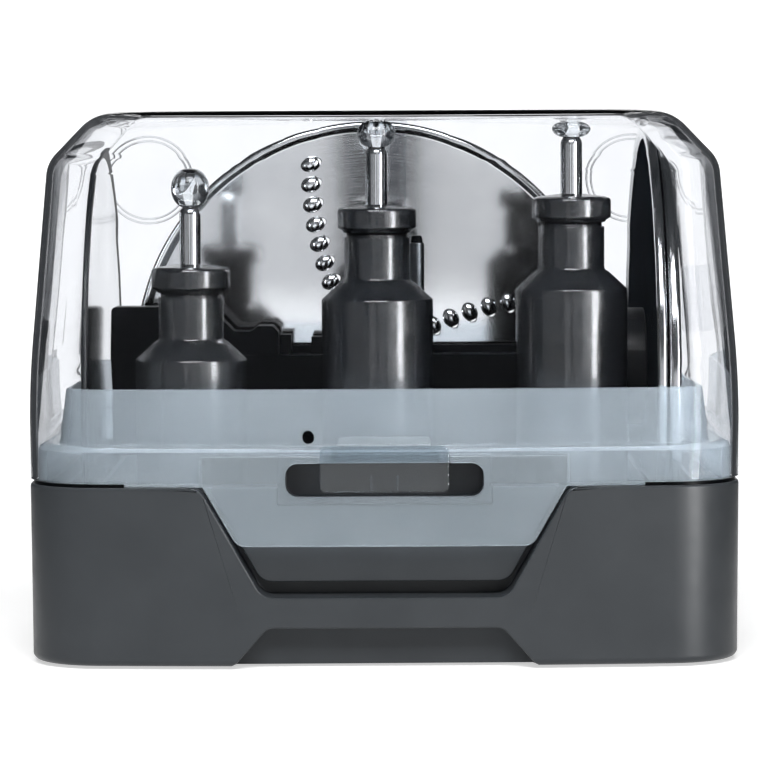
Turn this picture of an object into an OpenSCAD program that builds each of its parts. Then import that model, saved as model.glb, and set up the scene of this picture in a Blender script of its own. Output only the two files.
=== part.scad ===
// Storage case for food processor blades and discs.
// Frame: X to the right, front face towards -Y, Z up, origin at the bottom centre.

/* [Case] */
// Overall width
case_w = 288; // [286:1:310]
// Overall depth
case_d = 244; // [242:1:270]
// Overall height, feet included
case_h = 223; // [223:1:240]
// Radius of the four upright corners
corner_r = 31; // [26:1:34]
// How far the front and back bulge at their middle
bow = 6; // [2:1:8]

/* [Base] */
// Height of the base rim
base_h = 73; // [70:1:76]
// Wall thickness of the base
base_wall = 3; // [2.4:0.2:3.6]
// Height of the feet
foot_h = 1.2; // [0.8:0.2:2]
// Height of the finger recess under the front
finger_h = 16.7; // [14:0.1:20]

/* [Lid] */
// Wall thickness of the lid
lid_wall = 2.6; // [2:0.1:3]
// Height of the lid's lower edge
lid_z = 75; // [75:0.5:77]
// Lean of the lid's sides over their upper part
lid_lean = 8.4; // [7:0.1:9]
// Height of the notch over the apron
lid_notch_z = 85.7; // [84:0.1:87]

/* [Guard] */
// Height of the raised guard
guard_h = 111.8; // [108:0.1:114]
// Wall thickness of the guard
guard_wall = 2.2; // [1.8:0.1:2.6]
// Height of the apron's lower edge
apron_z = 49.5; // [46:0.5:53]

/* [Latch] */
// Width of the latch tab
tab_w = 51.6; // [44:0.2:54]
// Height of the tab's lower edge
tab_z = 71.1; // [70.5:0.1:73]
// Width of the latch slot
slot_w = 79.2; // [72:0.2:84]

/* [Blades] */
// Height of a blade hub, from its foot to the top of its cap
hub_h = 147.7; // [140:0.1:150]
// Diameter of a hub's body
hub_d = 46; // [42:0.5:48]
// Diameter of a hub's neck
neck_d = 27; // [24:0.5:29]
// Diameter of a hub's cap
cap_d = 32.4; // [30:0.2:36]
// Height of a hub's cap
cap_h = 11.7; // [9:0.1:13]
// Diameter of the steel pins
pin_d = 8.9; // [7:0.1:10]
// Height of a pin over its cap
pin_h = 24.5; // [20:0.1:25]
// Reach of the blades from the hub's axis
blade_r = 43; // [38:1:44]
// Diameter of the posts that the hubs stand on
post_d = 18; // [14:0.2:19]

/* [Discs] */
// Radius of a disc
disc_r = 103.5; // [98:0.5:104]
// Thickness of a disc's plate
plate_t = 1.6; // [1:0.2:2]
// Width of a disc's rim
rim_w = 6; // [4:0.5:8]
// How far the rear disc is domed towards the front
dome = 4; // [1:0.5:5]
// How far the rear disc leans towards the front, in degrees
disc_lean = 3.5; // [2:0.5:4]

/* [Hidden] */
$fn = 64;

// clearances
gap = 0.3;
eps = 0.01;

// heights and insets of the stacked case parts
half_w = case_w / 2;
half_d = case_d / 2;
floor_z = foot_h + 2.7;
base_draft = 0.5;
ledge_w = 6;
ledge_z = base_h - 6;
tray_inset = ledge_w + 0.5;
tray_floor = 10;
tray_top = 74;
tray_wall = 2;
deck_z = tray_floor + 2.5;
lean_z = 113;
brow_z = 202.6;
ring_inset = lid_wall + 0.8;
ring_wall = 2.4;
ring_top = 89.5;
flange_t = 2.2;
guard_side = 13.5;
guard_front = 8;
guard_r = 14;

// front notch, scooped pocket and finger recess of the base
notch_top = 74;
notch_foot = 49;
notch_z = 29;
notch_r = 8;
apron_depth = 5.8;
pocket_depth = 16;
pocket_lip_z = 35;
finger_top = 47;
finger_foot = 61;
finger_depth = 12;

// latch slot, tab and cup
slot_z0 = 69.1;
slot_z1 = 82.7;
slot_r = 5;
tab_top = 89.6;
tab_t = 2.2;
cup_depth = 9;
slit_w = 37;
slit_z0 = 89.9;
slit_z1 = 93.5;
hole_x = -30.4;

// blades: name order is mini, dough, quad
blade_x = [-79.5, -2.7, 77.4];
blade_y = -62;
cap_top = [160.5, 184.8, 188.8];
knob_d = 15.8;
knob_h = [15, 10.6, 6.2];
knob_grip = 3.5;
neck_h = 20.4;
cone_h = 7;
arm_t = 2;
post_gap = 0.3;

// discs: axis along Y for the rear one, along X for the side ones
shred_x = -5;
shred_y = 35;
shred_z = 115.8;
shred_r = disc_r + 0.5;
shred_foot = shred_y + shred_r * sin(disc_lean);
slice_x = -120.6;
slice_z = 108;
julienne_x = 112;
julienne_z = 114.2;
fine_x = 117.3;
fine_z = 108.4;

// rack and drive spindle
rack_x0 = -80;
rack_x1 = 82;
rack_y0 = 8;
rack_y1 = 26;
rack_back = 45.4;
rack_z = 119;
rack_lip = 122.5;
shoulder_x = -117.5;
shoulder_z = 140;
spindle_x = 14;
spindle_y = -22;
spindle_top = 171;
spindle_d = 6.4;

// ---------- outline helpers ----------

function unit(v) = v / norm(v);
function wrap(points, i) = points[(i + len(points)) % len(points)];

// points of the arc that rounds corner b between its neighbours a and c
function corner(a, b, c, r, n = 5) =
    let (u = unit(a - b), v = unit(c - b))
    let (half = acos(u * v) / 2, t = r / tan(half))
    let (mid = b + unit(u + v) * r / sin(half))
    let (p = b + u * t - mid, q = b + v * t - mid)
    r <= 0 ? [b] : [for (i = [0:n]) mid + r * unit(p * (1 - i / n) + q * i / n)];

// a closed outline with every corner rounded by its own radius
function rounded(points, radii, n = 5) = [
    for (i = [0:len(points) - 1])
        each corner(wrap(points, i - 1), points[i], wrap(points, i + 1), radii[i], n)
];

// the outward normal of the edge that starts at point i of an anticlockwise outline
function normal(points, i) =
    let (e = unit(wrap(points, i + 1) - wrap(points, i)))
    [e.y, -e.x];

// an anticlockwise outline moved inwards by d
function inset(points, d) = [
    for (i = [0:len(points) - 1])
        let (m = normal(points, i - 1), n = normal(points, i))
        points[i] - d * (m + n) / (1 + m * n)
];

// plan of the case: rounded corners, bulging front and back
function plan(w, d, r) =
    let (s = [for (k = [-6:6]) k / 8])
    let (front = [for (k = s) [k * w / 2, -d / 2 + bow * k * k]])
    let (back = [for (k = s) [-k * w / 2, d / 2 - bow * k * k]])
    let (cx = w / 2, cy = d / 2 - bow, n = len(s) - 1)
    concat(
        front, corner(front[n], [cx, -cy], [cx, 0], r), corner([cx, 0], [cx, cy], back[0], r),
        back, corner(back[n], [-cx, cy], [-cx, 0], r), corner([-cx, 0], [-cx, -cy], front[0], r)
    );

module plan_block(d, z0, z1) {
    translate([0, 0, z0])
        linear_extrude(z1 - z0)
            polygon(plan(case_w - 2 * d, case_d - 2 * d, max(corner_r - d, 4)));
}

module ring_block(d, t, z0, z1) {
    difference() {
        plan_block(d, z0, z1);
        plan_block(d + t, z0 - 1, z1 + 1);
    }
}

// an XZ outline extruded along Y
module along_y(points, y0, y1) {
    translate([0, y1, 0])
        rotate([90, 0, 0])
            linear_extrude(y1 - y0)
                polygon(points);
}

// a YZ outline extruded along X
module along_x(points, x0, x1) {
    translate([x0, 0, 0])
        rotate([90, 0, 90])
            linear_extrude(x1 - x0)
                polygon(points);
}

// an XZ outline cut through the front, this deep
module front_cut(points, depth) {
    along_y(points, -half_d - 1, depth - half_d);
}

module box(x0, x1, y0, y1, z0, z1) {
    translate([x0, y0, z0])
        cube([x1 - x0, y1 - y0, z1 - z0]);
}

function rounded_slot(x0, x1, z0, z1, r) =
    rounded([[x0, z0], [x1, z0], [x1, z1], [x0, z1]], [r, r, r, r]);

// ---------- case ----------

module base_solid(d) {
    edge_r = 3 - d;
    side = [
        [half_w - base_draft - d, foot_h + d], [half_w - d, base_h + 1 + d],
        [d - half_w, base_h + 1 + d], [base_draft + d - half_w, foot_h + d]
    ];
    front = [
        [half_d - base_draft - d, foot_h + d], [half_d - d, base_h + 1 + d],
        [d - half_d, base_h + 1 + d], [base_draft + d - half_d, foot_h + d]
    ];
    intersection() {
        plan_block(d, foot_h, base_h + 1);
        along_y(rounded(side, [edge_r, 0, 0, edge_r]), -case_d, case_d);
        along_x(rounded(front, [edge_r, 0, 0, edge_r]), -case_w, case_w);
    }
}

function notch_points(grow) = rounded([
    [-notch_top - 30, base_h], [-notch_top - grow, base_h], [-notch_foot - grow, notch_z - grow],
    [notch_foot + grow, notch_z - grow], [notch_top + grow, base_h], [notch_top + 30, base_h],
    [notch_top + 30, base_h + 20], [-notch_top - 30, base_h + 20]
], [0, notch_r, notch_r, notch_r, notch_r, 0, 0, 0]);

function finger_points(grow) = let (foot = foot_h - 0.4) rounded([
    [-90, -3], [90, -3], [90, foot], [finger_foot + grow, foot], [finger_top + grow, finger_h + grow],
    [-finger_top - grow, finger_h + grow], [-finger_foot - grow, foot], [-90, foot]
], [0, 0, 0, 6, 6, 6, 6, 0]);

// side view of the pocket behind the apron: a lip that slopes inwards over a deep gap
function pocket_points(grow) = [
    [-half_d - 5, base_h + 20], [-half_d - 5, notch_z - grow], [pocket_depth - half_d + grow, notch_z - grow],
    [pocket_depth - half_d + grow, pocket_lip_z + grow], [8.5 - half_d + grow, pocket_lip_z + grow],
    [apron_depth + gap - half_d + grow, apron_z], [apron_depth + gap - half_d + grow, base_h + 20]
];

module pocket(grow) {
    intersection() {
        along_y(notch_points(grow), -half_d - 5, -half_d + 40);
        along_x(pocket_points(grow), -half_w, half_w);
    }
}

module finger_recess(grow) {
    along_y(finger_points(grow), -half_d - 5, finger_depth - half_d + grow);
}

module cup_window(grow) {
    box(-slot_w / 2 - 3 - grow, slot_w / 2 + 3 + grow, -half_d + 1, apron_depth + cup_depth + grow - half_d,
        slot_z0 - 3 - grow, base_h + 2);
}

screw_xy = [for (x = [-98, 92], y = [-96, 88]) [x, y]];

module base_shell() {
    color([0.28, 0.30, 0.31])
        difference() {
            union() {
                difference() {
                    base_solid(0);
                    difference() {
                        plan_block(base_wall, floor_z, ledge_z);
                        pocket(base_wall);
                        finger_recess(base_wall);
                    }
                    plan_block(ledge_w, ledge_z - 1, base_h + 2);
                }
                intersection() {
                    plan_block(1, ledge_z - 1, base_h);
                    pocket(base_wall);
                }
                for (p = screw_xy)
                    translate([p.x, p.y, floor_z - 1])
                        cylinder(d = 10, h = tray_floor - floor_z + 1);
            }
            box(-case_w, case_w, -case_d, case_d, base_h, base_h + 5);
            pocket(0);
            finger_recess(0);
            cup_window(gap);
            for (p = screw_xy)
                translate([p.x, p.y, foot_h + 1])
                    cylinder(d = 3.3, h = tray_floor);
            for (x = [-1, 1], y = [-1, 1])
                translate([x * (half_w - 34), y * (half_d - 34), foot_h - 1])
                    cylinder(d = 18.4, h = 2);
        }
}

module foot_pads() {
    color([0.12, 0.12, 0.12])
        for (x = [-1, 1], y = [-1, 1])
            translate([x * (half_w - 34), y * (half_d - 34), 0])
                cylinder(d = 18, h = foot_h + 1);
}

module base_screws() {
    color([0.6, 0.6, 0.62])
        for (p = screw_xy)
            translate([p.x, p.y, 0]) {
                translate([0, 0, 3])
                    cylinder(d = 3.2, h = deck_z - 3 + eps);
                translate([0, 0, deck_z])
                    cylinder(d1 = 7, d2 = 6, h = 2.4);
            }
}

// slots in the tray for the discs, as [x0, x1, y0, y1]
side_slots = [[-126, -114, -106, 106], [106.5, 124, -106, 106]];

module inner_tray() {
    color([0.16, 0.17, 0.18])
        difference() {
            union() {
                ring_block(tray_inset, tray_wall, tray_floor, tray_top);
                plan_block(tray_inset + 1, tray_floor, deck_z);
                for (s = side_slots)
                    intersection() {
                        plan_block(tray_inset + 1, tray_floor, tray_top);
                        box(s[0] - tray_wall, s[1] + tray_wall, -half_d, half_d, tray_floor, tray_top);
                    }
                for (i = [0:2])
                    translate([blade_x[i], blade_y, tray_floor + 1])
                        cylinder(d = hub_d - 4, h = cap_top[i] - hub_h - tray_floor - 1);
                translate([spindle_x, spindle_y, tray_floor + 1])
                    difference() {
                        cylinder(d = 22, h = 22);
                        translate([0, 0, 4])
                            cylinder(d = 16.8, h = 30);
                    }
            }
            for (s = side_slots)
                intersection() {
                    plan_block(tray_inset + tray_wall, tray_floor - 1, tray_top + 1);
                    box(s[0], s[1], -half_d, half_d, tray_floor - 1, tray_top + 1);
                }
            box(-40, 32, shred_foot - 2.8, shred_foot + 3.4, tray_floor - 1, deck_z + 1);
            for (p = screw_xy)
                translate([p.x, p.y, tray_floor - 1])
                    cylinder(d = 3.4, h = 5);
            box(-slot_w / 2 - 5, slot_w / 2 + 5, -half_d, apron_depth + cup_depth + 2 - half_d,
                notch_z, tray_top + 1);
            pocket(base_wall + 1);
            finger_recess(base_wall + 1);
        }
}

module disc_rack() {
    z0 = deck_z + 0.1;
    // left end of the rack: a tall shoulder that steps down to the rack's top
    shoulder = rounded([
        [shoulder_x, shoulder_z - 62], [rack_x0 + 1, shoulder_z - 62], [rack_x0 + 1, rack_z - 9],
        [-45.5, rack_z - 9], [-45.5, 129], [-48, 131.6], [-54.4, 131.6], [-57.5, 129.2], [-64.6, 129.2],
        [-75, shoulder_z], [shoulder_x, shoulder_z]
    ], [2, 0, 0, 0, 1.5, 1.5, 1.5, 2, 3, 3, 2]);
    color([0.06, 0.065, 0.07]) {
        difference() {
            union() {
                box(rack_x0, rack_x1, rack_y0, rack_y1, z0, rack_z);
                box(rack_x0, rack_x1, rack_y1 - 1.8, rack_y1, z0, rack_lip);
                box(rack_x0, rack_x1, rack_y0, rack_back + 2.8, z0, 30);
                box(rack_x0, rack_x1, rack_back, rack_back + 2.8, z0, 80);
                along_y(shoulder, rack_y0 + 1, rack_y1 - 2);
                for (lug = [[-44.8, 127.5], [-31.4, 126.5]])
                    box(lug[0], lug[0] + 4.6, rack_y0 + 8, rack_y1 - 0.5, rack_z - 1, lug[1]);
            }
            box(rack_x0 + 2.4, rack_x1 - 2.4, rack_y0 + 2.4, rack_y1 - 1.8, z0 - 1, rack_z - 2.4);
            box(rack_x0 + 3, rack_x1 - 3, rack_y1, rack_back, z0 - 1, 31);
        }
    }
}

module guard_collar() {
    guard_w = case_w - 2 * guard_side;
    guard_d = case_d - 2 * guard_front;
    guard_inside = plan(guard_w - 2 * guard_wall, guard_d - 2 * guard_wall, guard_r - guard_wall);
    apron = rounded([
        [-notch_top + 0.8, lid_notch_z - 0.4], [-notch_top + 0.8, base_h + 0.6], [-59.4, apron_z],
        [59.4, apron_z], [notch_top - 0.8, base_h + 0.6], [notch_top - 0.8, lid_notch_z - 0.4]
    ], [0, 3, 6, 6, 3, 0]);
    color([0.62, 0.67, 0.70, 0.6])
        difference() {
            union() {
                ring_block(ring_inset, ring_wall, base_h, ring_top);
                difference() {
                    plan_block(ring_inset, ring_top - flange_t, ring_top);
                    translate([0, 0, ring_top - 5])
                        linear_extrude(10)
                            polygon(guard_inside);
                }
                translate([0, 0, ring_top - 1])
                    linear_extrude(guard_h - ring_top + 1)
                        difference() {
                            polygon(plan(guard_w, guard_d, guard_r));
                            polygon(guard_inside);
                        }
                intersection() {
                    plan_block(0, apron_z - 1, ring_top);
                    along_y(apron, -half_d - 1, apron_depth - half_d);
                }
            }
            front_cut(rounded_slot(-slot_w / 2, slot_w / 2, slot_z0, slot_z1, slot_r), 12);
            front_cut(rounded_slot(hole_x - 2.4, hole_x + 2.4, 90, 95.4, 2.3), 14);
            box(-tab_w / 2 - 0.8, tab_w / 2 + 0.8, -half_d - 1, tab_t + 0.7 - half_d,
                tab_z - 0.9, lid_notch_z + 1);
            box(-slot_w / 2 - 3.1, slot_w / 2 + 3.1, apron_depth - half_d, 20 - half_d,
                slot_z0 - 4, slot_z1 + 3.1);
        }
}

module latch_cup() {
    y0 = apron_depth + 0.05 - half_d;
    y1 = apron_depth + cup_depth - half_d;
    color([0.17, 0.18, 0.19])
        difference() {
            box(-slot_w / 2 - 3, slot_w / 2 + 3, y0, y1, slot_z0 - 3, slot_z1 + 3);
            along_y(rounded_slot(-slot_w / 2, slot_w / 2, slot_z0, slot_z1, slot_r), y0 - 1, y1 - 2);
        }
}

module post(i) {
    z0 = cap_top[i] - hub_h;
    color([0.2, 0.21, 0.22])
        translate([blade_x[i], blade_y, z0]) {
            cylinder(d = post_d, h = 52);
            translate([0, 0, 52])
                cylinder(d1 = post_d, d2 = post_d - 6, h = 4);
        }
}

module mini_post() {
    post(0);
}

module dough_post() {
    post(1);
}

module quad_post() {
    post(2);
}

// ---------- lid ----------

// side view of the lid: upright up to lean_z, then leaning in to a wide sloping corner
module lid_solid(d, z0) {
    slope = lid_lean / (brow_z - lean_z);
    side = [
        [half_w - lid_lean, brow_z], [half_w - 28.2, case_h],
        [28.2 - half_w, case_h], [lid_lean - half_w, brow_z],
        [-half_w - slope * (lean_z - 55), 55], [half_w + slope * (lean_z - 55), 55]
    ];
    front = [
        [half_d - 3.5, case_h], [3.5 - half_d, case_h],
        [-half_d - 0.5, lid_z - 20], [half_d + 0.5, lid_z - 20]
    ];
    intersection() {
        plan_block(d, z0, case_h);
        along_y(rounded(inset(side, d), [14 - d, 20 - d, 20 - d, 14 - d, 0, 0]), -case_d, case_d);
        along_x(rounded(inset(front, d), [4.5 - d, 4.5 - d, 0, 0]), -case_w, case_w);
    }
}

module lid_shell() {
    rib = 1.6;
    side_rib = [[half_w - 15.5, 129], [half_w - 2.9, 129], [half_w - 5.6, 157], [half_w - 15.5, 157]];
    color([0.85, 0.9, 0.93, 0.3])
        difference() {
            union() {
                difference() {
                    lid_solid(0, lid_z);
                    lid_solid(lid_wall, lid_z - 1);
                }
                // hanging rib behind the middle hub, and its root block
                box(2.5, 9.5, -38, -38 + rib, 176, case_h - lid_wall + 0.5);
                box(2, 10, -40, -34, 215.5, case_h - lid_wall + 0.5);
                // upright rib on the right wall
                along_y(side_rib, -1.2, 1.2);
                // moulded rings on the back wall
                for (s = [-1, 1])
                    translate([s * 112, 0, 194])
                        intersection() {
                            rotate([-90, 0, 0])
                                difference() {
                                    cylinder(r = 20, h = case_d);
                                    translate([0, 0, -1])
                                        cylinder(r = 18, h = case_d + 2);
                                }
                            translate([-s * 112, 0, -194])
                                difference() {
                                    lid_solid(lid_wall - 0.5, lid_z);
                                    lid_solid(lid_wall + 1, lid_z - 1);
                                }
                        }
            }
            box(-notch_top, notch_top, -half_d - 1, -half_d + 12, lid_z - 1, lid_notch_z);
            box(-tab_w / 2 - gap, tab_w / 2 + gap, -half_d - 1, -half_d + 12, lid_notch_z - 1, slit_z0);
            front_cut(rounded_slot(-slit_w / 2, slit_w / 2, slit_z0 - 1.5, slit_z1, 1.7), 12);
            front_cut(rounded_slot(hole_x - 2.4, hole_x + 2.4, 89.5, 95.9, 2.3), 12);
        }
}

module latch_tab() {
    outline = rounded_slot(-tab_w / 2, tab_w / 2, tab_z, tab_top, 2.6);
    color([0.85, 0.9, 0.93, 0.4])
        union() {
            intersection() {
                along_y(outline, -half_d - 1, -half_d + 10);
                ring_block(0.3, tab_t, tab_z - 1, tab_top + 1);
            }
            for (x = [-5.3, 5.3])
                box(x - 0.5, x + 0.5, -half_d + 0.02, -half_d + 0.6, 71.8, 77.9);
        }
}

// ---------- blades ----------

module at_blade(i) {
    translate([blade_x[i], blade_y, cap_top[i] - hub_h])
        children();
}

module hub(i) {
    shoulder = hub_h - cap_h - neck_h - cone_h;
    outline = [
        [post_d / 2 + post_gap, 0], [hub_d / 2 - 0.8, 0], [hub_d / 2, 0.8], [hub_d / 2, shoulder - 1],
        [hub_d / 2 - 1, shoulder], [neck_d / 2 + 2.2, shoulder + cone_h],
        [neck_d / 2, shoulder + cone_h + 0.6], [neck_d / 2, hub_h - cap_h],
        [0, hub_h - cap_h], [0, 60], [post_d / 2 + post_gap, 60]
    ];
    color([0.24, 0.26, 0.27])
        at_blade(i)
            rotate_extrude()
                polygon(outline);
}

module cap(i) {
    r = cap_d / 2;
    outline = [
        [0, 0.05], [r - 2.2, 0.05], [r - 1.4, 1.2], [r, 2], [r, cap_h - 2.6], [r - 0.8, cap_h - 1.6],
        [r - 3, cap_h - 1], [pin_d / 2 + 1.5, cap_h], [pin_d / 2 + 0.02, cap_h], [pin_d / 2 + 0.02, 3], [0, 3]
    ];
    color([0.24, 0.26, 0.27])
        at_blade(i)
            translate([0, 0, hub_h - cap_h])
                rotate_extrude()
                    polygon(outline);
}

module pin(i) {
    r = pin_d / 2;
    color([0.78, 0.79, 0.8])
        at_blade(i)
            translate([0, 0, hub_h - cap_h + 3]) {
                cylinder(r = r, h = cap_h - 3 + pin_h - r);
                translate([0, 0, cap_h - 3 + pin_h - r])
                    intersection() {
                        sphere(r = r);
                        translate([0, 0, r - eps])
                            cube(2 * r, center = true);
                    }
            }
}

// a clear ball, flattened underneath, that sits on the pin's tip
module knob(i) {
    h = knob_h[i];
    r = knob_d / 2;
    bore = pin_d / 2 + 0.05;
    outline = rounded([
        [bore, -knob_grip], [6, -knob_grip], [r, h * 0.1], [r, h * 0.62],
        [r * 0.62, h], [0, h], [0, 0], [bore, 0]
    ], [0, 1, 4, 4, 3, 0, 0, 0]);
    color([0.85, 0.9, 0.93, 0.5])
        at_blade(i)
            translate([0, 0, hub_h + pin_h])
                rotate_extrude()
                    polygon(outline);
}

// a curved knife: its outline sweeps back from the hub to the tip
module knife(r, w, t) {
    root = hub_d / 2 - 1;
    edge = [for (k = [0:6]) let (s = k / 6) [root + (r - root) * s, w / 2 - 5 * s * s]];
    back = [for (k = [6:-1:0]) let (s = k / 6) [root + (r - root) * s, -w / 2 + 4 * s * (2 - s) - 5 * s * s]];
    linear_extrude(t)
        polygon(concat(edge, back));
}

// a ring that clamps the knives to the hub, with its arms
module blade_pair(i, z, angle, w, t) {
    r = hub_d / 2 + 0.05;
    at_blade(i)
        translate([0, 0, z])
            difference() {
                union() {
                    cylinder(r = r + 2.5, h = max(t, 3) + 1);
                    for (a = [angle, angle + 180])
                        rotate([0, 0, a])
                            translate([1, 0, 0.5])
                                knife(blade_r - 1, w, t);
                }
                translate([0, 0, -1])
                    cylinder(r = r, h = 20);
            }
}

module mini_hub() {
    hub(0);
}

module mini_cap() {
    cap(0);
}

module mini_pin() {
    pin(0);
}

module mini_knob() {
    knob(0);
}

module mini_blades() {
    color([0.75, 0.76, 0.78])
        blade_pair(0, 6, 72, 16, arm_t);
}

module dough_hub() {
    hub(1);
}

module dough_cap() {
    cap(1);
}

module dough_pin() {
    pin(1);
}

module dough_knob() {
    knob(1);
}

module dough_paddles() {
    color([0.2, 0.21, 0.22])
        blade_pair(1, 3, 118, 14, 12);
}

module quad_hub() {
    hub(2);
}

module quad_cap() {
    cap(2);
}

module quad_pin() {
    pin(2);
}

module quad_knob() {
    knob(2);
}

module quad_blades_low() {
    color([0.75, 0.76, 0.78])
        blade_pair(2, 4, 82, 15, arm_t);
}

module quad_blades_high() {
    color([0.75, 0.76, 0.78])
        blade_pair(2, 22, 104, 15, arm_t);
}

// ---------- discs, drawn with their axis along Z and their face up ----------

module disc_rim(r, t, rise = 0) {
    outline = rounded([[r - rim_w, -t / 2], [r, -t / 2], [r, t / 2], [r - rim_w, t / 2]],
        [0, t / 2 - 0.1, t / 2 - 0.1, 0]);
    difference() {
        rotate_extrude()
            polygon(outline);
        translate([0, 0, -plate_t / 2 - 0.02])
            cylinder(r = r - 1.5, h = plate_t + rise + 0.04);
    }
}

module disc_plate(r) {
    translate([0, 0, -plate_t / 2])
        cylinder(r = r - 1.55, h = plate_t);
}

module disc_hub(d, h, t) {
    difference() {
        cylinder(d = d, h = h);
        translate([0, 0, t])
            cylinder(d = d - 2 * t, h = h);
        translate([0, 0, -1])
            cylinder(d = 8.2, h = h);
    }
    translate([0, 0, t - eps])
        difference() {
            cylinder(d = 15, h = h - t - 2);
            translate([0, 0, -1])
                cylinder(d = 8.2, h = h);
        }
}

// rear disc: grated side faces the front, hub at the back, its foot in a slot of the tray
module at_shred() {
    translate([shred_x, shred_y, shred_z])
        rotate([90 + disc_lean, 0, 0])
            children();
}

// side view of the domed plate, from its middle to its edge
function dome_edge(z) = [for (k = [0:8]) let (s = k / 8) [(shred_r - 1.55) * s, z + dome * (1 - s * s)]];
function reversed(points) = [for (i = [len(points) - 1:-1:0]) points[i]];

module shred_plate() {
    arms = 4;
    holes = 8;
    color([0.8, 0.81, 0.82])
        at_shred()
            difference() {
                rotate_extrude()
                    polygon(concat(dome_edge(-plate_t / 2), reversed(dome_edge(plate_t / 2))));
                for (a = [0:arms - 1], k = [0:holes - 1])
                    rotate([0, 0, a * 360 / arms + 119.6 - k * 1.75])
                        translate([30.4 + k * 8.45, 0, -3])
                            cylinder(d = 4.4, h = 12, $fn = 24);
            }
}

module shred_rim() {
    color([0.7, 0.71, 0.73])
        at_shred()
            disc_rim(shred_r, 3.6, dome * (1 - pow(1 - rim_w / shred_r, 2)));
}

module shred_hub() {
    color([0.1, 0.1, 0.11])
        at_shred()
            mirror([0, 0, 1])
                translate([0, 0, plate_t / 2 - dome + 0.35])
                    disc_hub(50, 14, 2.2);
}

// left disc: face inwards, hub outwards
module at_slice() {
    translate([slice_x, 0, slice_z])
        rotate([0, -90, 0])
            children();
}

module slice_plate() {
    color([0.8, 0.81, 0.82])
        at_slice()
            difference() {
                disc_plate(disc_r);
                translate([-90, 4, -3])
                    cube([52, 7, 6]);
            }
}

module slice_rim() {
    color([0.12, 0.125, 0.13])
        at_slice()
            disc_rim(disc_r, 2.4);
}

module slice_hub() {
    color([0.08, 0.085, 0.09])
        at_slice()
            translate([0, 0, plate_t / 2 + 0.02])
                disc_hub(50, 6.5, 2.2);
}

module slice_blade() {
    color([0.82, 0.83, 0.84])
        at_slice()
            translate([-91, 4.3, -plate_t / 2 - 1.3])
                cube([54, 9, 1.25]);
}

// right inner disc: dark carrier, hub inwards
module at_julienne() {
    translate([julienne_x, 0, julienne_z])
        rotate([0, -90, 0])
            children();
}

module julienne_plate() {
    color([0.1, 0.105, 0.11])
        at_julienne()
            difference() {
                disc_plate(disc_r);
                for (k = [0:11])
                    translate([-36.8 - k * 4.6, 6, -3])
                        cube([2.8, 5, 6]);
            }
}

module julienne_rim() {
    color([0.75, 0.76, 0.78])
        at_julienne()
            disc_rim(disc_r, 3.8);
}

module julienne_hub() {
    color([0.1, 0.105, 0.11])
        at_julienne()
            translate([0, 0, plate_t / 2 + 0.02])
                disc_hub(50, 22, 2.4);
}

module julienne_teeth() {
    color([0.8, 0.81, 0.82])
        at_julienne()
            for (k = [0:11])
                translate([-37.6 - k * 4.6, 4.8, plate_t / 2 + 0.02])
                    cube([1, 7.4, 1]);
}

// right outer disc
module at_fine() {
    translate([fine_x, 0, fine_z])
        rotate([0, 90, 0])
            children();
}

module fine_plate() {
    color([0.8, 0.81, 0.82])
        at_fine()
            difference() {
                disc_plate(disc_r);
                for (ring = [0:3], k = [0:11])
                    rotate([0, 0, k * 30 + ring * 8])
                        translate([40 + ring * 14, 0, -3])
                            cylinder(d = 3, h = 6, $fn = 24);
            }
}

module fine_rim() {
    color([0.75, 0.76, 0.78])
        at_fine()
            disc_rim(disc_r, 5);
}

module fine_hub() {
    color([0.1, 0.105, 0.11])
        at_fine()
            translate([0, 0, plate_t / 2 + 0.02])
                disc_hub(40, 4.5, 2);
}

// ---------- drive spindle ----------

module at_spindle() {
    translate([spindle_x, spindle_y, tray_floor + 5])
        children();
}

module spindle_coupler() {
    color([0.1, 0.105, 0.11])
        at_spindle()
            difference() {
                union() {
                    cylinder(d = 16.2, h = 30);
                    translate([0, 0, 30 - eps])
                        cylinder(d = 12, h = 14);
                }
                translate([0, 0, 10])
                    cylinder(d = spindle_d + 0.04, h = 60);
            }
}

module spindle_shaft() {
    color([0.35, 0.36, 0.37])
        at_spindle()
            translate([0, 0, 10])
                cylinder(d = spindle_d, h = spindle_top - tray_floor - 5 - 10 - 3);
}

module spindle_cap() {
    color([0.1, 0.105, 0.11])
        translate([spindle_x, spindle_y, spindle_top - 3])
            cylinder(d1 = spindle_d - 1, d2 = spindle_d - 2, h = 3);
}

base_shell();
foot_pads();
base_screws();
inner_tray();
disc_rack();
guard_collar();
latch_cup();
mini_post();
dough_post();
quad_post();
lid_shell();
latch_tab();
mini_hub();
mini_cap();
mini_pin();
mini_knob();
mini_blades();
dough_hub();
dough_cap();
dough_pin();
dough_knob();
dough_paddles();
quad_hub();
quad_cap();
quad_pin();
quad_knob();
quad_blades_low();
quad_blades_high();
shred_plate();
shred_rim();
shred_hub();
slice_plate();
slice_rim();
slice_hub();
slice_blade();
julienne_plate();
julienne_rim();
julienne_hub();
julienne_teeth();
fine_plate();
fine_rim();
fine_hub();
spindle_shaft();
spindle_cap();
spindle_coupler();
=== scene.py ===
"""Looks of the food processor accessory case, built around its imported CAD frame.

The outlines are worked out in millimetres and become meshes in metres. X is to the right, the latch
faces -Y, Z is up, and the origin is at the bottom centre.
"""
import math

import bmesh
import bpy
from mathutils import Euler, Matrix, Vector


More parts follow.
